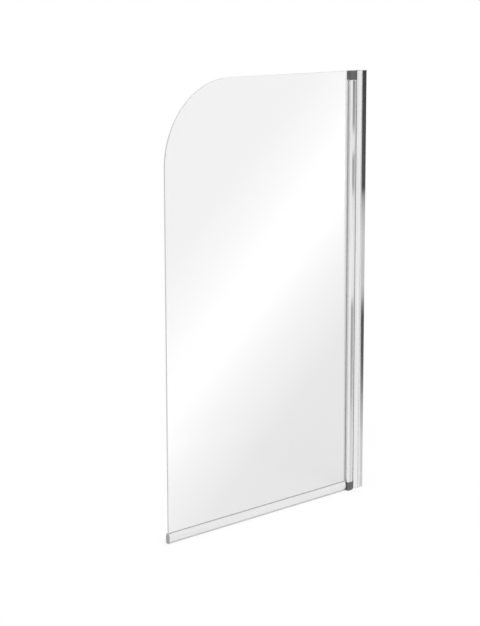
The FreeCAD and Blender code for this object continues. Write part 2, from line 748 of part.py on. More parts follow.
def bottom_rail():
    """Extrusion with a slot for the glass at the top, a chamber for the end caps' pegs and a T slot
    for the wiper below."""
    body = new_body("bottom_rail")
    sides = oval("rail_foot")
    wiper_slot = [
        ("-wiper_neck_half_width", "rail_foot"),
        ("-wiper_neck_half_width", WIPER_SLOT_FOOT),
        ("-wiper_slot_half_width", WIPER_SLOT_FOOT),
        ("-wiper_slot_half_width", WIPER_SLOT_TOP),
        ("wiper_slot_half_width", WIPER_SLOT_TOP),
        ("wiper_slot_half_width", WIPER_SLOT_FOOT),
        ("wiper_neck_half_width", WIPER_SLOT_FOOT),
        ("wiper_neck_half_width", "rail_foot"),
    ]
    glass_slot = [
        ("rail_slot_width / 2", "rail_top"),
        ("rail_slot_width / 2", RAIL_SLOT_FLOOR),
        ("-rail_slot_width / 2", RAIL_SLOT_FLOOR),
        ("-rail_slot_width / 2", "rail_top"),
    ]
    section = sketch(body, "rail_section", "YZ_Plane", [
        sides[:1] + wiper_slot + sides[1:3] + glass_slot + sides[3:],
        box("-rail_chamber_half_width", "rail_chamber_half_width", PEG_FOOT, PEG_TOP),
    ], f"-{GLASS_OUTER}")
    pad(body, section, RAIL_LENGTH)


def rail_gasket():
    """Soft U strip between the glass and the walls of the rail's slot."""
    body = new_body("rail_gasket")
    outer = "(rail_slot_width / 2 - soft_gap)"
    inner = "(glass_thickness / 2 + soft_gap)"
    section = sketch(body, "rail_gasket_section", "YZ_Plane", [[
        (f"-{outer}", f"{RAIL_SLOT_FLOOR} + soft_gap"),
        (outer, f"{RAIL_SLOT_FLOOR} + soft_gap"),
        (outer, "rail_top"),
        (inner, "rail_top"),
        (inner, f"{GLASS_FOOT} - soft_gap"),
        (f"-{inner}", f"{GLASS_FOOT} - soft_gap"),
        (f"-{inner}", "rail_top"),
        (f"-{outer}", "rail_top"),
    ]], f"-{GLASS_OUTER}")
    pad(body, section, RAIL_LENGTH)


def wiper_blade():
    """Soft strip held by its head in the rail's T slot, with a foot that drags on the bath's rim."""
    body = new_body("wiper_blade")
    head = "(wiper_slot_half_width - soft_gap)"
    right = [
        ("wiper_foot_half_width", "0"),
        ("wiper_foot_half_width", "wiper_foot_height"),
        ("wiper_blade_half_width", "2 * wiper_foot_height + wiper_blade_half_width"),
        ("wiper_blade_half_width", f"{WIPER_SLOT_FOOT} + soft_gap"),
        (head, f"{WIPER_SLOT_FOOT} + soft_gap"),
        (head, f"{WIPER_SLOT_TOP} - soft_gap"),
    ]
    left = [(f"-{across}", up) for across, up in reversed(right)]
    section = sketch(body, "wiper_section", "YZ_Plane", [right + left], f"-{GLASS_OUTER}")
    pad(body, section, RAIL_LENGTH)


def rail_cap(label, at_free_end):
    """Plate over one end of the rail, with a peg in the rail's chamber."""
    body = new_body(label)
    place = f"-{GLASS_OUTER}" if at_free_end else f"-{RAIL_INNER}"
    thickness = "cap_thickness" if at_free_end else "inner_cap_thickness"
    plate = sketch(body, label + "_outline", "YZ_Plane", [oval("rail_cap_foot")], place)
    pad(body, plate, thickness, backwards=at_free_end)
    outer_face = value(body, f"{place} - {thickness}" if at_free_end else f"{place} + {thickness}")
    rounding(body, "Fillet", "cap_dome" if at_free_end else "inner_cap_dome",
             lambda edge: abs(edge.BoundBox.XMin - outer_face) < 0.01 and edge.BoundBox.XLength < 0.01)
    peg_half = "(rail_chamber_half_width - soft_gap)"
    peg = sketch(body, label + "_peg", "YZ_Plane", [box(
        f"-{peg_half}", peg_half, f"{PEG_FOOT} + soft_gap", f"{PEG_TOP} - soft_gap")], place)
    pad(body, peg, "cap_peg_length", backwards=not at_free_end)


# ---------------------------------------------------------------- the whole screen

wall_channel()
channel_plug("channel_top_plug", "screen_height - plug_height")
channel_plug("channel_bottom_plug", "0")
adjusting_screws()
cap_washers()
screw_cover_caps()
clamp_nuts()
pivot_post()
pivot_block("upper_pivot_block", True)
pivot_block("lower_pivot_block", False)
pivot_pin("upper_pivot_pin", f"{UPPER_BUSH} - pin_reach")
pivot_pin("lower_pivot_pin", "block_height - pin_seat")
block_screws()
thrust_washers()
post_seal()
glazing_tube()
bush("upper_bush", True)
bush("lower_bush", False)
glass_pane()
glazing_gasket("front_glazing_gasket", "-1")
glazing_gasket("rear_glazing_gasket", "1")
glass_packers()
bottom_rail()
rail_gasket()
wiper_blade()
rail_cap("rail_outer_cap", True)
rail_cap("rail_inner_cap", False)
doc.recompute()

for item in doc.Objects:
    if "Invalid" in item.State or "Error" in item.State:
        raise RuntimeError(f"{item.Label} failed: {item.State}")

os.makedirs("parts", exist_ok=True)
for body in PARTS:
    shape = body.Shape
    if shape.isNull() or not shape.isValid() or not shape.Solids:
        raise RuntimeError(f"{body.Label} has no valid solid")
    shape.exportStep(f"parts/{body.Label}.step")
    low = shape.BoundBox
    print(f"{body.Label}: {len(shape.Solids)} solid(s), {shape.Volume / 1000:.2f} cm3, "
          f"X {low.XMin:.2f} to {low.XMax:.2f}, Y {low.YMin:.2f} to {low.YMax:.2f}, "
          f"Z {low.ZMin:.2f} to {low.ZMax:.2f}")
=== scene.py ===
import math

import bmesh
import bpy
import numpy as np
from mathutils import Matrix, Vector
from mathutils.geometry import tessellate_polygon


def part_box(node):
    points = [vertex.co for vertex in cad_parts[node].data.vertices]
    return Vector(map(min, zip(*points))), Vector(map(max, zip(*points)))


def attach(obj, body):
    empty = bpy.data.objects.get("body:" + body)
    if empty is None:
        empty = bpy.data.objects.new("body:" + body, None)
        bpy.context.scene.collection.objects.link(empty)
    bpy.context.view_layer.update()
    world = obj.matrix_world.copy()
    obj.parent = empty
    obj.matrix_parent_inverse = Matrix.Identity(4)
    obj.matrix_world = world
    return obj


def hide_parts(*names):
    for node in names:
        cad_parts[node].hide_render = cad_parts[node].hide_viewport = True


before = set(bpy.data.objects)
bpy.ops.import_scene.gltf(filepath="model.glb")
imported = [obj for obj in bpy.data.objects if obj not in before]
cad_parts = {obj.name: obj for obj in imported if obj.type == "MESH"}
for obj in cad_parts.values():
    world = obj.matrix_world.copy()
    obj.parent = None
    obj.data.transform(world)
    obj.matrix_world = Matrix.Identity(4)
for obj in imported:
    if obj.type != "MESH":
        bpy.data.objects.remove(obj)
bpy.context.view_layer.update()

# The dressed bath screen. Sections and outlines are written in millimetres, as on a drawing, and
# become metres when a mesh is made. The wall is the plane X = 0 and the screen reaches along -X.
MM = 0.001


# ---------------------------------------------------------------- places read from the frame

def extent(node_name):
    """Lowest and highest corner of a CAD node in millimetres, as two arrays."""
    low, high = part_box(node_name)
    return np.array(low) / MM, np.array(high) / MM


CHANNEL_LOW, CHANNEL_HIGH = extent("wall_channel")
POST_LOW, POST_HIGH = extent("pivot_post")
TUBE_LOW, TUBE_HIGH = extent("glazing_tube")
GLASS_LOW, GLASS_HIGH = extent("glass_pane")
RAIL_LOW, RAIL_HIGH = extent("bottom_rail")

# sizes that a node's box doesn't give
POST_WALL = 1.6
POST_FLANGE = -3.0              # X of the post's rear flanges
POST_WEB = (-22.0, -20.4)       # X of the two faces of the post's web
POST_CHAMBER = (-35.9, -22.0)   # X of the chamber's ends
CHAMBER_HALF = 8.0
NOSE = -38.0                    # X where the post's curved faces end
NOSE_HALF = 9.8
END_FACE_HALF = 8.6
SEAL_GROOVE_HALF = 2.5
SEAL_GROOVE_DEPTH = 2.0
NECK_HALF = 5.8
TAIL_HALF = 7.8
TAIL_PLAY = 0.2                 # between a pivot block's tail and the post's chamber
PIVOT = -54.0                   # X of the pivot's axis
TUBE_CORNER = 6.0
TUBE_WALL = 1.6
BUSH_CHAMBER_RADIUS = 12.2
SLOT_HALF = 4.5                 # the slot that holds the glass
SLOT_DEPTH = 11.0
SIDE_CHAMBER_LENGTH = 7.0
SIDE_CHAMBER_WIDTH = 5.4
CORNER_SWEEP = 260.0
NOTCH_RISE = 0.6
NOTCH_CLEARANCE = 3.2
GLASS_HALF = 3.0
ARRIS = 0.7                     # bevel that breaks the pane's sharp edges
GASKET_PLAY = 0.1
RAIL_EDGE_HALF = 5.0
RAIL_SLOT_HALF = 4.0
RAIL_SLOT_DEPTH = 12.8
RAIL_FLOOR = 1.4
RAIL_CHAMBER_HALF = 4.4
WIPER_NECK_HALF = 1.2
WIPER_SLOT_HALF = 2.6
WIPER_LIP = 2.0
WIPER_SLOT_HEIGHT = 3.0
WIPER_PLAY = 0.1
OUTER_CAP_FACE = -850.0         # X of the outer faces of the rail's two caps
INNER_CAP_FACE = -74.2
CAP_FOOT = 0.8                  # height of the caps' lower edge


# ---------------------------------------------------------------- outlines

FRONT_TO_BACK = (1, -1)         # mirror of a section drawn in X and Y
SIDE_TO_SIDE = (-1, 1)          # mirror of a section drawn in Y and Z


def arc(centre, radius, first, last, steps):
    """Points at even angles on a circle's arc, from one angle in degrees to another."""
    angle = np.radians(np.linspace(first, last, steps))
    return np.column_stack((centre[0] + radius * np.cos(angle),
                            centre[1] + radius * np.sin(angle)))


def without_repeats(points):
    """The outline with points that coincide with the one before left out."""
    least = 1e-5
    gap = np.linalg.norm(points - np.roll(points, 1, axis=0), axis=1)
    return points[gap > least]


def rounded(corners, closed=True):
    """Outline through corners (x, y, radius). A corner's arc touches both of its sides at
    radius / tan(half the angle between them) from the corner, and its points turn evenly from one
    side to the other. One more point a little way along each side keeps the shading of the flat
    side flat beside the arc. An open run starts and ends at its plain end points."""
    steps = 6
    hold = 0.08                 # how far along its side the added point lies
    most = 0.4                  # and the largest share of the side's free length
    corners = np.array(corners, float)
    if closed:
        corners = np.vstack((corners[-1:], corners, corners[:1]))
    point = corners[1:-1, :2]
    radius = corners[1:-1, 2:]
    to_last = corners[:-2, :2] - point
    to_next = corners[2:, :2] - point
    last_length = np.linalg.norm(to_last, axis=1, keepdims=True)
    next_length = np.linalg.norm(to_next, axis=1, keepdims=True)
    back = to_last / last_length
    ahead = to_next / next_length
    between = np.arccos(np.clip((back * ahead).sum(1, keepdims=True), -1, 1))
    touch = radius / np.tan(between / 2)
    middle = (back + ahead) / np.linalg.norm(back + ahead, axis=1, keepdims=True)
    centre = point + middle * radius / np.sin(between / 2)
    first = (point + back * touch - centre)[:, None, :]
    last = (point + ahead * touch - centre)[:, None, :]
    sweep = (math.pi - between)[:, None, :]
    turn = np.linspace(0, 1, steps)[None, :, None]
    blend = np.sin((1 - turn) * sweep) * first + np.sin(turn * sweep) * last
    curve = centre[:, None, :] + blend / np.sin(sweep)
    ends = (touch[-1:], touch[:1]) if closed else ([[0]], [[0]])
    room_back = last_length - touch - np.vstack((ends[0], touch[:-1]))
    room_ahead = next_length - touch - np.vstack((touch[1:], ends[1]))
    before = point + back * (touch + np.clip(room_back * most, 0, hold))
    after = point + ahead * (touch + np.clip(room_ahead * most, 0, hold))
    run = np.concatenate((before[:, None, :], curve, after[:, None, :]), axis=1).reshape(-1, 2)
    if closed:
        return without_repeats(run)
    return without_repeats(np.vstack((corners[:1, :2], run, corners[-1:, :2])))


def rectangle(low_x, high_x, low_y, high_y, radius):
    """The four corners of a rectangle for rounded(), all with the same radius."""
    return [(low_x, low_y, radius), (high_x, low_y, radius),
            (high_x, high_y, radius), (low_x, high_y, radius)]


def mirrored(half_outline, flip):
    """A run of points and its mirror image, taken backwards, as one closed outline. The flip's -1
    marks the coordinate that changes its sign."""
    return without_repeats(np.vstack((half_outline, half_outline[::-1] * flip)))


def bulge(across, foot, top, middle_half):
    """Side of an oval from its foot to its top: the arc through both ends, `across` from the
    middle plane, that stands out to middle_half half way up. Its radius is
    (rise^2 + swell^2) / (2 swell)."""
    steps = 17
    rise = (top - foot) / 2
    swell = middle_half - across
    radius = (rise ** 2 + swell ** 2) / (2 * swell)
    reach = math.degrees(math.asin(rise / radius))
    return arc((middle_half - radius, foot + rise), radius, -reach, reach, steps)


# ---------------------------------------------------------------- meshes

MERGE_DISTANCE = 1e-7           # metres
SHARP_ANGLE = 35.0


def new_object(name, data):
    """An object in the scene, at the origin."""
    made = bpy.data.objects.new(name, data)
    bpy.context.scene.collection.objects.link(made)
    return made


def make_piece(name, points, faces, body, materials, replaced, face_slots=None):
    """A mesh object from points in millimetres, merged where points meet and with its faces
    outward. It rides on a body, takes the finishes it is given and stands for CAD nodes, which it
    hides."""
    mesh = bpy.data.meshes.new(name)
    mesh.from_pydata((np.asarray(points) * MM).tolist(), [], faces)
    if face_slots is not None:
        mesh.polygons.foreach_set("material_index", face_slots)
    work = bmesh.new()
    work.from_mesh(mesh)
    bmesh.ops.remove_doubles(work, verts=work.verts, dist=MERGE_DISTANCE)
    bmesh.ops.recalc_face_normals(work, faces=work.faces)
    work.to_mesh(mesh)
    work.free()
    mesh.shade_smooth()
    mesh.set_sharp_from_angle(angle=math.radians(SHARP_ANGLE))
    piece = new_object(name, mesh)
    for material in materials:
        mesh.materials.append(material)
    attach(piece, body)
    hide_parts(*replaced)
    return piece


def filled(loops):
    """Triangles that fill an outline with its holes, as rows of point numbers."""
    return np.array(tessellate_polygon([[Vector((x, y, 0)) for x, y in loop] for loop in loops]))


def extruded(loops, start, stop, axis="Z"):
    """A section with its holes carried straight along Z or X. Each loop gives one ring at either
    end, the rings are joined by quads, and triangles fill the section at both ends."""
    outline = np.vstack(loops)
    count = len(outline)
    points = np.vstack([np.column_stack((outline, np.full(count, height)))
                        for height in (start, stop)])
    faces = []
    offset = 0
    for loop in loops:
        here = np.arange(len(loop))
        there = (here + 1) % len(loop)
        faces += (np.column_stack((here, there, there + count, here + count)) + offset).tolist()
        offset += len(loop)
    ends = filled(loops)
    faces += ends.tolist() + (ends[:, ::-1] + count).tolist()
    return (points if axis == "Z" else points[:, [2, 0, 1]]), faces


def stacked(rings, closed_ends=True):
    """Rings of the same number of points, joined one to the next by quads. The first and the last
    are filled unless the ends are left to poles."""
    around = len(rings[0])
    here = np.arange(around)
    there = (here + 1) % around
    quad = np.column_stack((here, there, there + around, here + around))
    faces = np.concatenate([quad + row * around for row in range(len(rings) - 1)]).tolist()
    if closed_ends:
        ends = filled([rings[0][:, :2]])
        faces += ends.tolist() + (ends[:, ::-1] + (len(rings) - 1) * around).tolist()
    return np.vstack(rings), faces


def softened(outline, start, stop, edge, end_edge):
    """A moulding: outline(inset) carried from start to stop, whose edges are rounded off by edge
    at the start and end_edge at the stop. At a distance d inside an end the outline is drawn in
    by edge - sqrt(edge^2 - (edge - d)^2)."""
    steps = 5
    angle = np.linspace(0, math.pi / 2, steps)
    cuts = [(start + edge * (1 - math.sin(a)), edge * (1 - math.cos(a))) for a in angle[::-1]]
    cuts += [(stop - end_edge * (1 - math.sin(a)), end_edge * (1 - math.cos(a))) for a in angle]
    rings = []
    for height, inset in cuts:
        ring = outline(inset)
        rings.append(np.column_stack((ring, np.full(len(ring), height))))
    return stacked(rings)


def turned(profile, centre):
    """A profile of (radius, height) turned about a line through the centre along Y. A radius of
    zero closes the surface at its pole."""
    steps = 48
    profile = np.array(profile, float)
    angle = np.linspace(0, 2 * math.pi, steps, endpoint=False)
    across = np.outer(profile[:, 0], np.cos(angle))
    up = np.outer(profile[:, 0], np.sin(angle))
    height = np.repeat(profile[:, 1:], steps, axis=1)
    points = np.stack((across, height, up), axis=-1) + np.array(centre, float)
    return stacked(list(points), closed_ends=False)


def joined(parts):
    """Several (points, faces) pairs as one: each part's faces count on from the points before."""
    points = []
    faces = []
    offset = 0
    for part_points, part_faces in parts:
        points.append(part_points)
        faces += [[corner + offset for corner in face] for face in part_faces]
        offset += len(part_points)
    return np.vstack(points), faces


# ---------------------------------------------------------------- materials

NOISE_LOW, NOISE_HIGH = 0.3, 0.7    # nearly all values of a noise lie between these


def linear(hex_colour):
    """sRGB hex to linear RGBA."""
    part = np.array([int(hex_colour[i:i + 2], 16) for i in (1, 3, 5)]) / 255
    light = np.where(part <= 0.04045, part / 12.92, ((part + 0.055) / 1.055) ** 2.4)
    return (*light.tolist(), 1.0)


def per_mm(spacing):
    """Texture scale, per metre, for features this many millimetres apart."""
    return 1.0 / (spacing * MM)


def node(tree, kind, settings=None, inputs=None, stops=()):
    """Add a node and set its own properties. Its inputs are set, or linked to a socket or to the
    first output of a node. A colour ramp gets its stops, each a position and a linear colour."""
    made = tree.nodes.new("ShaderNode" + kind)
    for key, setting in (settings or {}).items():
        setattr(made, key, setting)
    for key, given in (inputs or {}).items():
        if isinstance(given, bpy.types.Node):
            given = given.outputs[0]
        if isinstance(given, bpy.types.NodeSocket):
            tree.links.new(given, made.inputs[key])
        else:
            made.inputs[key].default_value = given
    while stops and len(made.color_ramp.elements) < len(stops):
        made.color_ramp.elements.new(0.5)
    for index, (position, colour) in enumerate(stops):
        made.color_ramp.elements[index].position = position
        made.color_ramp.elements[index].color = colour
    return made


def new_material(name):
    """An empty material and its node tree."""
    material = bpy.data.materials.new(name)
    material.use_nodes = True
    material.node_tree.nodes.clear()
    return material, material.node_tree


def bright_anodised_aluminium(name, along):
    """Extruded aluminium, mechanically polished, brightened and clear anodised: a near mirror whose
    reflections are drawn out a little along the extrusion, with faint die lines and a soft haze.
    Real die lines are 0.2 mm apart; they are drawn 1.2 mm apart so that they still show at the
    picture's size."""
    line_across, line_along, haze_across, haze_along = 1.2, 160.0, 14.0, 220.0
    line_depth = 0.02
    material, tree = new_material(name)
    place = node(tree, "TexCoord").outputs["Object"]
    drawn_out = []
    for across_mm, along_mm in ((line_across, line_along), (haze_across, haze_along)):
        scale = [per_mm(across_mm)] * 3
        scale["XYZ".index(along)] = per_mm(along_mm)
        stretched = node(tree, "Mapping", None, {"Vector": place, "Scale": scale})
        drawn_out.append(node(tree, "TexNoise", None, {
            "Vector": stretched, "Scale": 1.0, "Detail": 3.0, "Roughness": 0.6}))
    lines, haze = drawn_out
    colour = node(tree, "ValToRGB", None, {"Fac": haze}, [
        (0.35, linear("#E5E5E5")), (0.65, linear("#EBEBEB"))])
    roughness = node(tree, "MapRange", None, {
        "Value": lines, "From Min": NOISE_LOW, "From Max": NOISE_HIGH,
        "To Min": 0.03, "To Max": 0.08})
    grooves = node(tree, "Bump", None, {
        "Height": lines, "Strength": 0.2, "Distance": line_depth * MM})
    surface = node(tree, "BsdfPrincipled", None, {
        "Base Color": colour, "Metallic": 1.0, "Roughness": roughness, "Normal": grooves})
    node(tree, "OutputMaterial", None, {"Surface": surface})
    return material


def clear_toughened_glass():
    """Clear float glass, toughened on rollers: sharp and nearly colourless, with a very slight
    waviness that only bends what it mirrors. The rollers leave it about 240 mm apart."""
    wave_spacing, wave_depth = 240.0, 0.2
    material, tree = new_material("clear_toughened_glass")
    place = node(tree, "TexCoord").outputs["Object"]
    wave = node(tree, "TexNoise", None, {
        "Vector": place, "Scale": per_mm(wave_spacing), "Detail": 0.0})
    bend = node(tree, "Bump", None, {
        "Height": wave, "Strength": 0.1, "Distance": wave_depth * MM})
    surface = node(tree, "BsdfPrincipled", None, {
        "Base Color": linear("#E6E5E5"), "Roughness": 0.0, "IOR": 1.52,
        "Transmission Weight": 1.0, "Normal": bend})
    node(tree, "OutputMaterial", None, {"Surface": surface})
    return material


def mottled(name, colours, spacing, detail, rough, ior, clear=0.0):
    """A smooth material whose colour wanders between two near tones, spacing millimetres from one
    patch to the next. clear is the share of light that passes through it."""
    material, tree = new_material(name)
    place = node(tree, "TexCoord").outputs["Object"]
    patches = node(tree, "TexNoise", None, {
        "Vector": place, "Scale": per_mm(spacing), "Detail": detail})
    colour = node(tree, "ValToRGB", None, {"Fac": patches}, [
        (NOISE_LOW, linear(colours[0])), (NOISE_HIGH, linear(colours[1]))])
    surface = node(tree, "BsdfPrincipled", None, {
        "Base Color": colour, "Roughness": rough, "IOR": ior, "Transmission Weight": clear})
    node(tree, "OutputMaterial", None, {"Surface": surface})
    return material


def fine_grained(name, colours, rough, grain, depth, strength=0.3, metallic=0.0):
    """A moulded or extruded plastic, or a turned metal: a sheen broken by the grain that the tool
    leaves, and a cloudy variation between two near colours, twelve grains from one cloud to the
    next. grain and depth are the grain's spacing and depth in millimetres."""
    cloud_grains = 12
    rough_range = 0.05
    material, tree = new_material(name)
    place = node(tree, "TexCoord").outputs["Object"]
    grains = node(tree, "TexNoise", None, {"Vector": place, "Scale": per_mm(grain)})
    clouds = node(tree, "TexNoise", None, {
        "Vector": place, "Scale": per_mm(grain * cloud_grains)})
    colour = node(tree, "ValToRGB", None, {"Fac": clouds}, [
        (NOISE_LOW, linear(colours[0])), (NOISE_HIGH, linear(colours[1]))])
    roughness = node(tree, "MapRange", None, {
        "Value": grains, "From Min": NOISE_LOW, "From Max": NOISE_HIGH,
        "To Min": rough - rough_range, "To Max": rough + rough_range})
    pits = node(tree, "Bump", None, {
        "Height": grains, "Strength": strength, "Distance": depth * MM})
    surface = node(tree, "BsdfPrincipled", None, {
        "Base Color": colour, "Metallic": metallic, "Roughness": roughness, "Normal": pits})
    node(tree, "OutputMaterial", None, {"Surface": surface})
    return material


UPRIGHT_METAL = bright_anodised_aluminium("bright_anodised_aluminium_upright", "Z")
RAIL_METAL = bright_anodised_aluminium("bright_anodised_aluminium_rail", "X")
GLASS = clear_toughened_glass()
# the pane's edge, ground and polished: it gathers light from inside the pane and looks a grey, very
# slightly green satin, mottled by the wheel
GLASS_EDGE = mottled("ground_and_polished_glass_edge", ("#C8CCCA", "#D4D8D6"),
                     spacing=9.0, detail=4.0, rough=0.22, ior=1.52)
# the edge inside the profile and round its notch, only seamed before toughening, is dull; its dark
# colour is painted shade
HIDDEN_EDGE_PAINTED_SHADE = mottled("seamed_glass_edge_painted_shade", ("#585C5A", "#6A6E6C"),
                      spacing=5.0, detail=4.0, rough=0.5, ior=1.52)
# plasticised PVC, clear but never water clear: a milky, faintly grey strip with a soft gloss
CLEAR_PVC = mottled("soft_clear_pvc", ("#DCDCDA", "#E4E4E2"),
                    spacing=30.0, detail=2.0, rough=0.2, ior=1.53, clear=0.3)
# glass-filled nylon off a spark-eroded tool: a dark grey, dry satin
GREY_NYLON = fine_grained("grey_moulded_nylon", ("#5A5A5B", "#646465"),
                          rough=0.52, grain=1.0, depth=0.05)
# unfilled nylon, a lighter grey than the blocks, on the two ends of the rail
LIGHT_NYLON = fine_grained("light_grey_moulded_nylon", ("#A2A2A2", "#ACACAC"),
                           rough=0.48, grain=1.0, depth=0.04)
# turned stainless steel: a clean grey metal, slightly satin
STEEL = fine_grained("turned_stainless_steel", ("#B9B8B5", "#C6C5C2"),
                     rough=0.26, grain=0.8, depth=0.01, strength=0.15, metallic=1.0)
# acetal: a dense, waxy white
WHITE_ACETAL = fine_grained("white_acetal", ("#E9E9E4", "#F0F0EC"),
                            rough=0.38, grain=1.2, depth=0.01, strength=0.1)
# vacuum-metallised ABS: a silvery plastic, softer than the metal beside it
SILVER_PLASTIC = fine_grained("silver_metallised_abs", ("#C3C5C8", "#CDCFD1"),
                              rough=0.24, grain=1.5, depth=0.01, strength=0.1, metallic=0.85)
# soft grey PVC, extruded: an even, slightly waxy grey
GREY_PVC = fine_grained("soft_grey_pvc", ("#CCCCCC", "#D4D4D4"),
                        rough=0.42, grain=2.0, depth=0.02, strength=0.15)


# ---------------------------------------------------------------- pieces on the wall

def end_plug(label, node_name):
    """A moulded block that closes one end of the channel: a rectangle with round corners, carried
    up, with its end edges eased."""
    low, high = extent(node_name)
    corner = 1.0
    ease = 0.5

    def outline(inset):
        return rounded(rectangle(low[0] + inset, high[0] - inset,
                                 low[1] + inset, high[1] - inset, corner))

    points, faces = softened(outline, low[2], high[2], ease, ease)
    make_piece(label, points, faces, "wall", [WHITE_ACETAL], [node_name])


def screw_cover_caps():
    """Three thin domed cups over the adjusting screws. The dome is a quarter ellipse over a short
    straight skirt, and the inside follows it one wall lower."""
    low, high = extent("screw_cover_caps")
    radius = (high[0] - low[0]) / 2
    centre_x = (high[0] + low[0]) / 2
    seat = CHANNEL_HIGH[1]
    height = high[1] - seat
    wall = 0.9
    skirt = 1.2
    bore = radius - wall
    angle = np.linspace(math.pi / 2, 0, 12)
    outside = np.column_stack((radius * np.cos(angle),
                               skirt + (height - skirt) * np.sin(angle)))
    inside = np.column_stack((bore * np.cos(angle),
                              skirt + (height - wall - skirt) * np.sin(angle)))
    profile = np.vstack((outside, [(radius, 0), (bore, 0)], inside[::-1]))
    heights = np.linspace(low[2] + radius, high[2] - radius, 3)
    points, faces = joined([turned(profile, (centre_x, seat, z)) for z in heights])
    make_piece("domed_screw_caps", points, faces, "wall",
               [SILVER_PLASTIC], ["screw_cover_caps"])


def dress_cad_nodes():
    """CAD nodes whose own shape is right keep it and get their finish."""
    finishes = {
        "wall_channel": UPRIGHT_METAL,
        "adjusting_screws": STEEL,
        "cap_washers": WHITE_ACETAL,
        "clamp_nuts": STEEL,
        "upper_pivot_pin": STEEL,
        "lower_pivot_pin": STEEL,
        "block_screws": STEEL,
        "thrust_washers": WHITE_ACETAL,
        "upper_bush": WHITE_ACETAL,
        "lower_bush": WHITE_ACETAL,
        "glass_packers": WHITE_ACETAL,
    }
    for node_name, material in finishes.items():
        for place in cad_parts[node_name].material_slots:
            place.material = material


# ---------------------------------------------------------------- post and pivot

def pivot_post():
    """Two rear flanges, a web, and a closed box whose front and rear faces curve in to a narrow
    nose with a groove for the seal. Each face is an arc of radius (run^2 + drop^2) / (2 drop)."""
    half = POST_HIGH[1]
    bore = half - POST_WALL
    mouth = CHANNEL_LOW[0]
    end = POST_LOW[0]
    floor = end + SEAL_GROOVE_DEPTH
    run = mouth - NOSE
    drop = half - NOSE_HALF
    radius = (run ** 2 + drop ** 2) / (2 * drop)
    way = np.linspace(0, run, 16)
    curved_face = np.column_stack((mouth - way, half - radius + np.sqrt(radius ** 2 - way ** 2)))
    flange_edge, nose_edge, groove_edge, chamber_edge = 0.3, 0.5, 0.2, 0.6
    flange = rounded([
        (POST_WEB[1], 0, 0), (POST_WEB[1], bore, flange_edge), (POST_FLANGE, bore, flange_edge),
        (POST_FLANGE, half, flange_edge), (mouth, half, 0),
    ], closed=False)
    nose = rounded([
        (NOSE, NOSE_HALF, 0), (end, END_FACE_HALF, nose_edge),
        (end, SEAL_GROOVE_HALF, groove_edge), (floor, SEAL_GROOVE_HALF, groove_edge),
        (floor, 0, 0),
    ], closed=False)
    section = mirrored(np.vstack((flange, curved_face, nose)), FRONT_TO_BACK)
    chamber = rounded(rectangle(*POST_CHAMBER, -CHAMBER_HALF, CHAMBER_HALF, chamber_edge))
    points, faces = extruded([section, chamber], POST_LOW[2], POST_HIGH[2])
    make_piece("polished_pivot_post", points, faces, "post",
               [UPRIGHT_METAL], ["pivot_post"])


def block_outline(inset):
    """The tube's outline, opened on the wall side by the neck and the tail that sit in the post.
    The neck meets the round back at the angle whose sine is its half width over the radius."""
    radius = TUBE_HIGH[1] - inset
    free = TUBE_LOW[0] + inset
    corner = TUBE_CORNER - inset
    neck = NECK_HALF - inset
    meet = math.degrees(math.asin(neck / radius))
    neck_start = PIVOT + radius * math.cos(math.radians(meet))
    tail = TAIL_HALF - inset
    tail_start = POST_CHAMBER[0] + TAIL_PLAY + inset
    tail_end = POST_CHAMBER[1] - TAIL_PLAY - inset
    tail_edge, neck_edge = 0.5, 0.3
    upper = np.vstack((
        rounded([(tail_end, 0, 0), (tail_end, tail, tail_edge), (tail_start, tail, tail_edge),
                 (tail_start, neck, neck_edge), (neck_start, neck, 0)], closed=False),
        arc((PIVOT, 0), radius, meet, 90, 30),
        arc((free + corner, radius - corner), corner, 90, 180, 14),
    ))
    return mirrored(upper, FRONT_TO_BACK)


def pivot_block(label, node_name):
    """A moulded block at one end of the tube: block_outline carried up, with its edges eased."""
    low, high = extent(node_name)
    ease = 0.6
    points, faces = softened(block_outline, low[2], high[2], ease, ease)
    make_piece(label, points, faces, "post", [GREY_NYLON], [node_name])


def post_seal():
    """A soft strip in the post's groove: a rectangle whose face is drawn up into a low bead."""
    low, high = extent("post_seal")
    bead_half = 1.6
    bead_foot = low[0] + 0.3
    edge = 0.2
    section = rounded([
        (low[0], -bead_half, edge), (low[0], bead_half, edge), (bead_foot, high[1], edge),
        (high[0], high[1], edge), (high[0], low[1], edge), (bead_foot, low[1], edge)])
    points, faces = extruded([section], low[2], high[2])
    make_piece("soft_post_seal", points, faces, "post", [GREY_PVC], ["post_seal"])


# ---------------------------------------------------------------- swinging panel

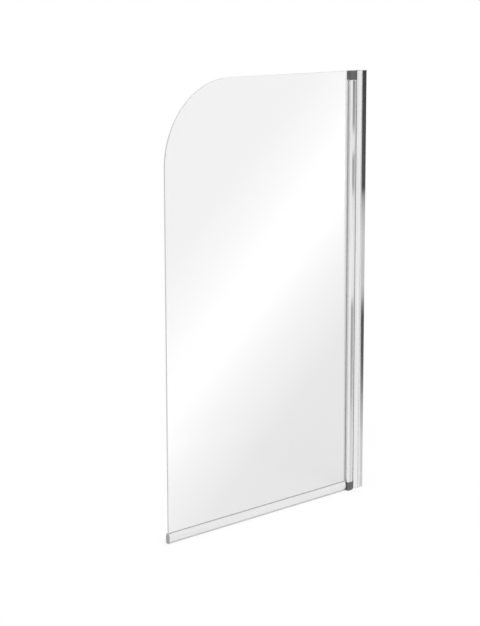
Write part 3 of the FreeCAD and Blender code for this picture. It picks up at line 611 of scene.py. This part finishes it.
def glazing_tube():
    """Half a circle about the pivot on the wall side and a flat face with round corners beyond it,
    where the glass enters a slot between two side hollows. The bush's chamber is a circle cut off
    straight at the slot's floor."""
    radius = TUBE_HIGH[1]
    free = TUBE_LOW[0]
    floor = free + SLOT_DEPTH
    mouth_edge, floor_edge, hollow_edge = 0.4, 0.3, 0.5
    hold = 0.1                  # a point this far along each flat keeps its shading flat
    corner_centre = (free + TUBE_CORNER, radius - TUBE_CORNER)
    upper = np.vstack((
        arc((PIVOT, 0), radius, 0, 90, 46),
        [(PIVOT - hold, radius), (free + TUBE_CORNER + hold, radius)],
        arc(corner_centre, TUBE_CORNER, 90, 180, 20),
        [(free, radius - TUBE_CORNER - hold)],
        rounded([(free, radius - TUBE_CORNER, 0), (free, SLOT_HALF, mouth_edge),
                 (floor, SLOT_HALF, floor_edge), (floor, 0, 0)], closed=False),
    ))
    cut = math.degrees(math.acos((floor + TUBE_WALL - PIVOT) / BUSH_CHAMBER_RADIUS))
    chamber = arc((PIVOT, 0), BUSH_CHAMBER_RADIUS, -cut, cut, 48)
    near = SLOT_HALF + TUBE_WALL
    far = near + SIDE_CHAMBER_WIDTH
    hollows = [rounded(rectangle(floor - SIDE_CHAMBER_LENGTH, floor, *sides, hollow_edge))
               for sides in ((near, far), (-far, -near))]
    points, faces = extruded([mirrored(upper, FRONT_TO_BACK), chamber] + hollows,
                             TUBE_LOW[2], TUBE_HIGH[2])
    make_piece("polished_glazing_tube", points, faces, "panel",
               [UPRIGHT_METAL], ["glazing_tube"])


def pane_outline(inset):
    """The pane's outline drawn in by an inset: straight sides, a wide round free corner, a notch
    beside the upper block and a step above the rail's inner end."""
    free = GLASS_LOW[0] + inset
    foot = GLASS_LOW[2] + inset
    top = GLASS_HIGH[2] - inset
    held = GLASS_HIGH[0] - inset
    notch_side = TUBE_LOW[0] - NOTCH_CLEARANCE - inset
    notch = TUBE_HIGH[2] - NOTCH_RISE - inset
    step = RAIL_HIGH[2] + NOTCH_RISE + inset
    step_side = RAIL_HIGH[0] - inset
    sweep = CORNER_SWEEP - inset
    corner = 1.0
    straight = rounded([
        (free, top - sweep, 0), (free, foot, corner), (step_side, foot, corner),
        (step_side, step, corner), (held, step, corner), (held, notch, corner),
        (notch_side, notch, corner), (notch_side, top, corner), (free + sweep, top, 0),
    ], closed=False)
    wide_corner = arc((free + sweep, top - sweep), sweep, 90, 180, 90)
    return without_repeats(np.vstack((straight, wide_corner)))


def glass_pane():
    """Four rings of the outline: drawn in by the arris at both faces and full size between them.
    The bevels and the edge between them are ground, or only seamed where the profile holds them and
    there painted dark as shade; the two faces stay clear."""
    rings = []
    for across, inset in ((-GLASS_HALF, ARRIS), (ARRIS - GLASS_HALF, 0),
                          (GLASS_HALF - ARRIS, 0), (GLASS_HALF, ARRIS)):
        ring = pane_outline(inset)
        rings.append(np.column_stack((ring, np.full(len(ring), across))))
    points, faces = stacked(rings)
    # the seamed slot is dull by its finish and dark by painted shade, where the profile and the
    # block cover the edge
    clear, ground, seamed = 0, 1, 2
    middle_x = (rings[0][:, 0] + np.roll(rings[0][:, 0], -1)) / 2
    held = middle_x > TUBE_LOW[0] - NOTCH_CLEARANCE - 2 * ARRIS
    face_slots = np.tile(np.where(held, seamed, ground), len(rings) - 1).tolist()
    face_slots += [clear] * (len(faces) - len(face_slots))
    pane = make_piece("clear_glass_pane", points[:, [0, 2, 1]], faces, "panel",
                      [GLASS, GLASS_EDGE, HIDDEN_EDGE_PAINTED_SHADE], ["glass_pane"], face_slots)
    # light passes the pane on its way to the floor and to what stands behind it
    pane.visible_shadow = False
    pane.visible_diffuse = False


def glazing_gasket(label, node_name, side):
    """A strip between the glass and the slot's wall, with a rounded lip that bears on the glass.
    The section is drawn for the rear and multiplied by the side, -1 in front and 1 at the rear."""
    low, high = extent(node_name)
    glass = GLASS_HALF + GASKET_PLAY
    wall = SLOT_HALF - GASKET_PLAY
    neck = TUBE_LOW[0] - GASKET_PLAY
    lip = max(abs(low[1]), abs(high[1]))
    lip_length = 0.35
    lip_drop = 0.5
    section = rounded([
        (high[0], glass, 0.2), (high[0], wall, 0.2), (neck, wall, 0.1), (neck, lip, 0.25),
        (low[0] + lip_length, lip - lip_drop, 0.5), (low[0], glass, 0.15)])
    points, faces = extruded([section * (1, side)], low[2], high[2])
    make_piece(label, points, faces, "panel", [GREY_PVC], [node_name])


# ---------------------------------------------------------------- bottom rail

RAIL_FOOT = RAIL_LOW[2]
RAIL_TOP = RAIL_HIGH[2]
RAIL_HALF = RAIL_HIGH[1]
SLOT_FLOOR = RAIL_TOP - RAIL_SLOT_DEPTH
WIPER_SLOT_FOOT = RAIL_FOOT + WIPER_LIP
WIPER_SLOT_TOP = WIPER_SLOT_FOOT + WIPER_SLOT_HEIGHT


def bottom_rail():
    """An oval section with a slot for the glass at the top, a chamber, and a T slot below."""
    wiper_edge, lip_edge, floor_edge, chamber_edge = 0.2, 0.15, 0.3, 0.5
    half = np.vstack((
        rounded([(0, WIPER_SLOT_TOP, 0), (WIPER_SLOT_HALF, WIPER_SLOT_TOP, wiper_edge),
                 (WIPER_SLOT_HALF, WIPER_SLOT_FOOT, wiper_edge),
                 (WIPER_NECK_HALF, WIPER_SLOT_FOOT, wiper_edge),
                 (WIPER_NECK_HALF, RAIL_FOOT, wiper_edge), (RAIL_EDGE_HALF, RAIL_FOOT, 0)],
                closed=False),
        bulge(RAIL_EDGE_HALF, RAIL_FOOT, RAIL_TOP, RAIL_HALF),
        rounded([(RAIL_EDGE_HALF, RAIL_TOP, 0), (RAIL_SLOT_HALF, RAIL_TOP, lip_edge),
                 (RAIL_SLOT_HALF, SLOT_FLOOR, floor_edge), (0, SLOT_FLOOR, 0)], closed=False),
    ))
    chamber = rounded(rectangle(-RAIL_CHAMBER_HALF, RAIL_CHAMBER_HALF,
                                WIPER_SLOT_TOP + RAIL_FLOOR, SLOT_FLOOR - RAIL_FLOOR,
                                chamber_edge))
    section = mirrored(without_repeats(half), SIDE_TO_SIDE)
    points, faces = extruded([section, chamber], RAIL_LOW[0], RAIL_HIGH[0], "X")
    make_piece("polished_bottom_rail", points, faces, "panel",
               [RAIL_METAL], ["bottom_rail"])


def rail_gasket():
    """A soft U round the glass's foot, whose lips roll out over the rail's top edges."""
    low, high = extent("rail_gasket")
    wall = 0.9
    glass = GLASS_HALF + GASKET_PLAY
    outer = high[1]
    floor = low[2] + wall
    lip = outer + 0.8
    lip_foot = high[2] + GASKET_PLAY
    lip_top = high[2] + wall
    half = rounded([
        (0, low[2], 0), (outer, low[2], 0.3), (outer, lip_foot, 0.1), (lip, lip_foot, 0.2),
        (lip, lip_top, 0.6), (glass, lip_top, 0.2), (glass, floor, 0.2), (0, floor, 0),
    ], closed=False)
    points, faces = extruded([mirrored(half, SIDE_TO_SIDE)], low[0], high[0], "X")
    make_piece("soft_rail_gasket", points, faces, "panel",
               [CLEAR_PVC], ["rail_gasket"])


def wiper_blade():
    """A head in the T slot, a thin web, and a foot whose edges turn up where it drags on the
    rim."""
    low, high = extent("wiper_blade")
    foot = high[1]
    foot_edge = 1.0             # height of the turned up edge
    web = 0.9
    web_foot = 3.3
    head = WIPER_SLOT_HALF - WIPER_PLAY
    head_foot = WIPER_SLOT_FOOT + WIPER_PLAY
    half = rounded([
        (0, low[2], 0), (foot, low[2], 0.35), (foot, foot_edge, 0.35), (web, web_foot, 1.2),
        (web, head_foot, 0.1), (head, head_foot, 0.3), (head, high[2], 0.5), (0, high[2], 0),
    ], closed=False)
    points, faces = extruded([mirrored(half, SIDE_TO_SIDE)], low[0], high[0], "X")
    make_piece("soft_wiper_blade", points, faces, "panel",
               [CLEAR_PVC], ["wiper_blade"])


def rail_cap(label, node_name, outer_x, seat_x, dome):
    """A moulded plate over one end of the rail: the rail's oval, carried a little lower, whose
    outer edge is rolled over in a quarter circle and whose edge at the rail is barely broken."""
    seat_edge = 0.15

    def outline(inset):
        foot = CAP_FOOT + inset
        top = RAIL_TOP - inset
        half = np.vstack((
            [(0, foot)],
            bulge(RAIL_EDGE_HALF - inset, foot, top, RAIL_HALF - inset),
            [(0, top)],
        ))
        return mirrored(without_repeats(half), SIDE_TO_SIDE)

    if outer_x < seat_x:
        points, faces = softened(outline, outer_x, seat_x, dome, seat_edge)
    else:
        points, faces = softened(outline, seat_x, outer_x, seat_edge, dome)
    make_piece(label, points[:, [2, 0, 1]], faces, "panel",
               [LIGHT_NYLON], [node_name])


end_plug("upper_channel_plug", "channel_top_plug")
end_plug("lower_channel_plug", "channel_bottom_plug")
screw_cover_caps()
pivot_post()
pivot_block("upper_nylon_pivot_block", "upper_pivot_block")
pivot_block("lower_nylon_pivot_block", "lower_pivot_block")
post_seal()
glazing_tube()
glass_pane()
glazing_gasket("soft_front_gasket", "front_glazing_gasket", -1)
glazing_gasket("soft_rear_gasket", "rear_glazing_gasket", 1)
bottom_rail()
rail_gasket()
wiper_blade()
rail_cap("outer_rail_cap", "rail_outer_cap", OUTER_CAP_FACE, RAIL_LOW[0], dome=1.4)
rail_cap("inner_rail_cap", "rail_inner_cap", INNER_CAP_FACE, RAIL_HIGH[0], dome=0.6)
dress_cad_nodes()


# ---------------------------------------------------------------- studio

# From here on lengths are in metres.
WHITE = (1, 1, 1, 1)
DOME_LIGHT = 0.75               # what the white surroundings give to surfaces that they light
SUN_LIGHT = 1.0
SUN_HEIGHT = 50.0               # degrees above the floor
SUN_SIDE = -25.0                # degrees about Z, towards the glass's free side
SUN_SPREAD = 40.0
FLOOR_COLOUR = "#969696"
FLOOR_FILL = 0.45               # what the floor adds to surfaces that it lights
FLOOR_REACH = 30.0

CARD_FOOT = 0.003               # cards stand just clear of the floor
BOARD_TOP = 1.5
# the boards in front stand near, so that their edges stay sharp in the metal
FRONT_DARK_Y = -0.11
FRONT_DARK_FOOT = (0.0914, 0.190)
FRONT_DARK_TOP = (0.0810, 0.190)
FRONT_GREY_Y = -0.055
FRONT_GREY_FOOT = (-0.0215, -0.0105)
FRONT_GREY_TOP = (-0.0260, -0.0105)
REAR_Y = 0.36
REAR_DARK = (0.350, 0.80)
REAR_GREY = (0.0, 0.317)
FLOOR_BOARD_HEIGHT = 0.002
FLOOR_BOARD_OUTLINE = [(-0.012, -0.015), (0.0914, -0.11), (0.190, -0.11), (0.190, -0.015)]
FLOOR_BOARD_GREY = 0.74
STRIP_STRENGTH = 4.3
STRIP_Y = (-0.85, -0.01)        # the upright strip's plane, and where the lying strip ends
STRIP_X = (-9.0, 0.80)
STRIP_TOP = 5.0

# brightness at each height above the floor
DARK_BOARD_GREYS = [
    (0.0, 0.74), (0.105, 0.72), (0.143, 0.67), (0.185, 0.58), (0.227, 0.52), (0.268, 0.42),
    (0.31, 0.28), (0.35, 0.20), (0.391, 0.15), (0.443, 0.11), (0.557, 0.11), (0.597, 0.26),
    (0.63, 0.52), (0.668, 0.66), (0.836, 0.68), (0.928, 0.55), (0.97, 0.38), (1.001, 0.10),
    (BOARD_TOP, 0.06)]
GREY_BOARD_GREYS = [
    (0.0, 0.78), (0.129, 0.78), (0.249, 0.74), (0.313, 0.58), (0.461, 0.46), (0.613, 0.48),
    (0.655, 0.92), (0.821, 1.00), (0.978, 0.90), (1.024, 0.50), (1.108, 0.46), (1.144, 0.95),
    (1.181, 0.95), (1.228, 0.44), (1.300, 0.38), (1.350, 0.33), (BOARD_TOP, 0.32)]
# brightness at each place across the strip, from its lower side (-1) over its middle (0) up (1)
STRIP_GREYS = [
    (-0.62, 0.0), (-0.46, 0.075), (-0.35, 0.29), (-0.24, 0.48), (-0.13, 0.76), (-0.08, 0.92),
    (-0.03, 1.0), (0.03, 1.0), (0.08, 0.93), (0.13, 0.85), (0.185, 0.73), (0.24, 0.64),
    (0.29, 0.58), (0.34, 0.48), (0.40, 0.44)]


def seen_directly(tree):
    """1 for what is seen straight on, in a mirror or through glass, 0 for light on a surface."""
    path = node(tree, "LightPath").outputs
    either = node(tree, "Math", {"operation": "MAXIMUM"}, {
        0: path["Is Camera Ray"], 1: path["Is Glossy Ray"]})
    return node(tree, "Math", {"operation": "MAXIMUM"}, {
        0: either, 1: path["Is Transmission Ray"]})


def white_surroundings():
    """A world that is plain white where it is seen and DOME_LIGHT where it lights a surface."""
    world = bpy.data.worlds.new("studio")
    world.use_nodes = True
    tree = world.node_tree
    tree.nodes.clear()
    strength = node(tree, "MapRange", None, {
        "Value": seen_directly(tree), "To Min": DOME_LIGHT, "To Max": 1.0})
    sky = node(tree, "Background", None, {"Color": WHITE, "Strength": strength})
    node(tree, "OutputWorld", None, {"Surface": sky})
    bpy.context.scene.world = world


def soft_sun():
    """One broad light from the front left, the same all over the floor."""
    lamp = bpy.data.lights.new("soft_key", "SUN")
    lamp.energy = SUN_LIGHT
    lamp.angle = math.radians(SUN_SPREAD)
    sun = new_object("soft_key", lamp)
    sun.rotation_euler = (math.radians(90 - SUN_HEIGHT), 0, math.radians(SUN_SIDE))


def pale_floor():
    """A plain floor. Lit in the open it is as white as the surroundings: what its own colour lacks,
    1 - colour * (dome + sun * sin(height) / pi), is added where it is seen directly, so that only
    the object's shadow shows on it."""
    reach = FLOOR_REACH
    mesh = bpy.data.meshes.new("floor")
    mesh.from_pydata([(-reach, -reach, 0), (reach, -reach, 0), (reach, reach, 0),
                      (-reach, reach, 0)], [], [(0, 1, 2, 3)])
    floor = new_object("floor", mesh)
    material, tree = new_material("pale_floor")
    colour = linear(FLOOR_COLOUR)
    lit = colour[0] * (DOME_LIGHT + SUN_LIGHT * math.sin(math.radians(SUN_HEIGHT)) / math.pi)
    own = node(tree, "BsdfDiffuse", None, {"Color": colour})
    lift = node(tree, "MapRange", None, {
        "Value": seen_directly(tree), "To Min": FLOOR_FILL, "To Max": 1 - lit})
    glow = node(tree, "Emission", None, {"Color": WHITE, "Strength": lift})
    both = node(tree, "AddShader", None, {0: own, 1: glow})
    node(tree, "OutputMaterial", None, {"Surface": both})
    mesh.materials.append(material)


def card(name, corners, material):
    """A flat studio card through four corners, seen only as a reflection."""
    mesh = bpy.data.meshes.new(name)
    mesh.from_pydata(corners, [], [(0, 1, 2, 3)])
    mesh.materials.append(material)
    board = new_object(name, mesh)
    board.visible_camera = False
    board.visible_diffuse = False
    board.visible_transmission = False
    board.visible_shadow = False
    return board


def upright_card(name, foot, y, height, material, top=None):
    """A card that stands on the floor at one Y. foot and top are its first and last X at either
    end, the same unless a side leans."""
    top = top or foot
    return card(name, [(foot[0], y, CARD_FOOT), (foot[1], y, CARD_FOOT),
                       (top[1], y, height), (top[0], y, height)], material)


def grey_stops(greys, low, high):
    """Ramp stops from (value, brightness) pairs, at (value - low) / (high - low)."""
    return [((value - low) / (high - low), (grey, grey, grey, 1)) for value, grey in greys]


def striped_board(name, greys):
    """Board whose brightness changes with height."""
    material, tree = new_material(name)
    place = node(tree, "TexCoord").outputs["Object"]
    height = node(tree, "SeparateXYZ", None, {0: place}).outputs["Z"]
    share = node(tree, "MapRange", None, {
        "Value": height, "From Min": 0.0, "From Max": BOARD_TOP})
    colour = node(tree, "ValToRGB", None, {"Fac": share}, grey_stops(greys, 0.0, BOARD_TOP))
    glow = node(tree, "Emission", None, {"Color": colour, "Strength": 1.0})
    node(tree, "OutputMaterial", None, {"Surface": glow})
    return material


def plain_board(name, brightness):
    """Board of one even brightness."""
    material, tree = new_material(name)
    glow = node(tree, "Emission", None, {"Color": WHITE, "Strength": brightness})
    node(tree, "OutputMaterial", None, {"Surface": glow})
    return material


def strip_light(name, direction, offset):
    """A slanting soft strip in front of the pane. Its brightness depends on direction . place +
    offset, which is 0 along the middle of the strip. Only the pane answers to it, as the long pale
    band across the glass; everything else sees through it. A second mirror, such as the metal
    beside the pane, gets nothing of it."""
    material, tree = new_material(name)
    place = node(tree, "TexCoord").outputs["Object"]
    along = node(tree, "VectorMath", {"operation": "DOT_PRODUCT"}, {0: place, 1: direction})
    across = node(tree, "Math", {"operation": "ADD"}, {0: along.outputs["Value"], 1: offset})
    share = node(tree, "MapRange", None, {"Value": across, "From Min": -1.0, "From Max": 1.0})
    colour = node(tree, "ValToRGB", None, {"Fac": share}, grey_stops(STRIP_GREYS, -1.0, 1.0))
    strength = node(tree, "MapRange", None, {
        "Value": node(tree, "LightPath").outputs["Glossy Depth"],
        "From Min": 1.0, "From Max": 2.0, "To Min": STRIP_STRENGTH, "To Max": 0.0})
    glow = node(tree, "Emission", None, {"Color": colour, "Strength": strength})
    clear = node(tree, "BsdfTransparent")
    both = node(tree, "AddShader", None, {0: glow, 1: clear})
    node(tree, "OutputMaterial", None, {"Surface": both})
    return material


def studio():
    """White surroundings, a soft sun, a pale floor, and cards for the metal and the pane to
    mirror: a dark and a grey board on either side of the screen, one on the floor, and the
    strip."""
    white_surroundings()
    soft_sun()
    pale_floor()
    dark = striped_board("dark_board", DARK_BOARD_GREYS)
    grey = striped_board("grey_board", GREY_BOARD_GREYS)
    upright_card("dark_board_front", FRONT_DARK_FOOT, FRONT_DARK_Y, BOARD_TOP, dark,
                 FRONT_DARK_TOP)
    upright_card("grey_board_front", FRONT_GREY_FOOT, FRONT_GREY_Y, BOARD_TOP, grey,
                 FRONT_GREY_TOP)
    upright_card("dark_board_rear", REAR_DARK, REAR_Y, BOARD_TOP, dark)
    upright_card("grey_board_rear", REAR_GREY, REAR_Y, BOARD_TOP, grey)
    card("floor_board", [(x, y, FLOOR_BOARD_HEIGHT) for x, y in FLOOR_BOARD_OUTLINE],
         plain_board("floor_grey", FLOOR_BOARD_GREY))
    upright = upright_card("upright_strip", STRIP_X, STRIP_Y[0], STRIP_TOP,
                           strip_light("upright_strip", (-0.5964, 0, 0.6886), -0.1777))
    lying = card("lying_strip", [(STRIP_X[0], STRIP_Y[0], CARD_FOOT),
                                 (STRIP_X[1], STRIP_Y[0], CARD_FOOT),
                                 (STRIP_X[1], STRIP_Y[1], CARD_FOOT),
                                 (STRIP_X[0], STRIP_Y[1], CARD_FOOT)],
                 strip_light("lying_strip", (-0.6577, -0.9363, 0), -0.9445))
    only_glass = bpy.data.collections.new("answers_to_the_strip")
    only_glass.objects.link(bpy.data.objects["clear_glass_pane"])
    for strip in (upright, lying):
        strip.light_linking.receiver_collection = only_glass


# ---------------------------------------------------------------- camera

PHOTO_WIDTH = 480
PHOTO_HEIGHT = 626
FOCAL_PIXELS = 1638.0
PRINCIPAL_POINT = (264.0, 270.0)
CAMERA_PLACE = (-3.9108, -3.6491, 1.6801)
CAMERA_TURN = 43.52
CAMERA_PITCH = 9.966
SENSOR = 36.0


def photo_camera():
    """A camera at the photograph's place and angle. The lens is the focal length in pixels over
    the picture's height, times the sensor, and the shift is the way from the picture's middle to
    the principal point over that height."""
    lens = bpy.data.cameras.new("photo_camera")
    lens.sensor_width = SENSOR
    lens.lens = FOCAL_PIXELS / PHOTO_HEIGHT * SENSOR
    lens.shift_x = (PHOTO_WIDTH / 2 - PRINCIPAL_POINT[0]) / PHOTO_HEIGHT
    lens.shift_y = (PRINCIPAL_POINT[1] - PHOTO_HEIGHT / 2) / PHOTO_HEIGHT
    camera = new_object("photo_camera", lens)
    camera.location = CAMERA_PLACE
    camera.rotation_euler = (math.radians(90 - CAMERA_PITCH), 0, math.radians(-CAMERA_TURN))
    bpy.context.scene.camera = camera


studio()
photo_camera()
bpy.context.scene.view_settings.view_transform = "Standard"
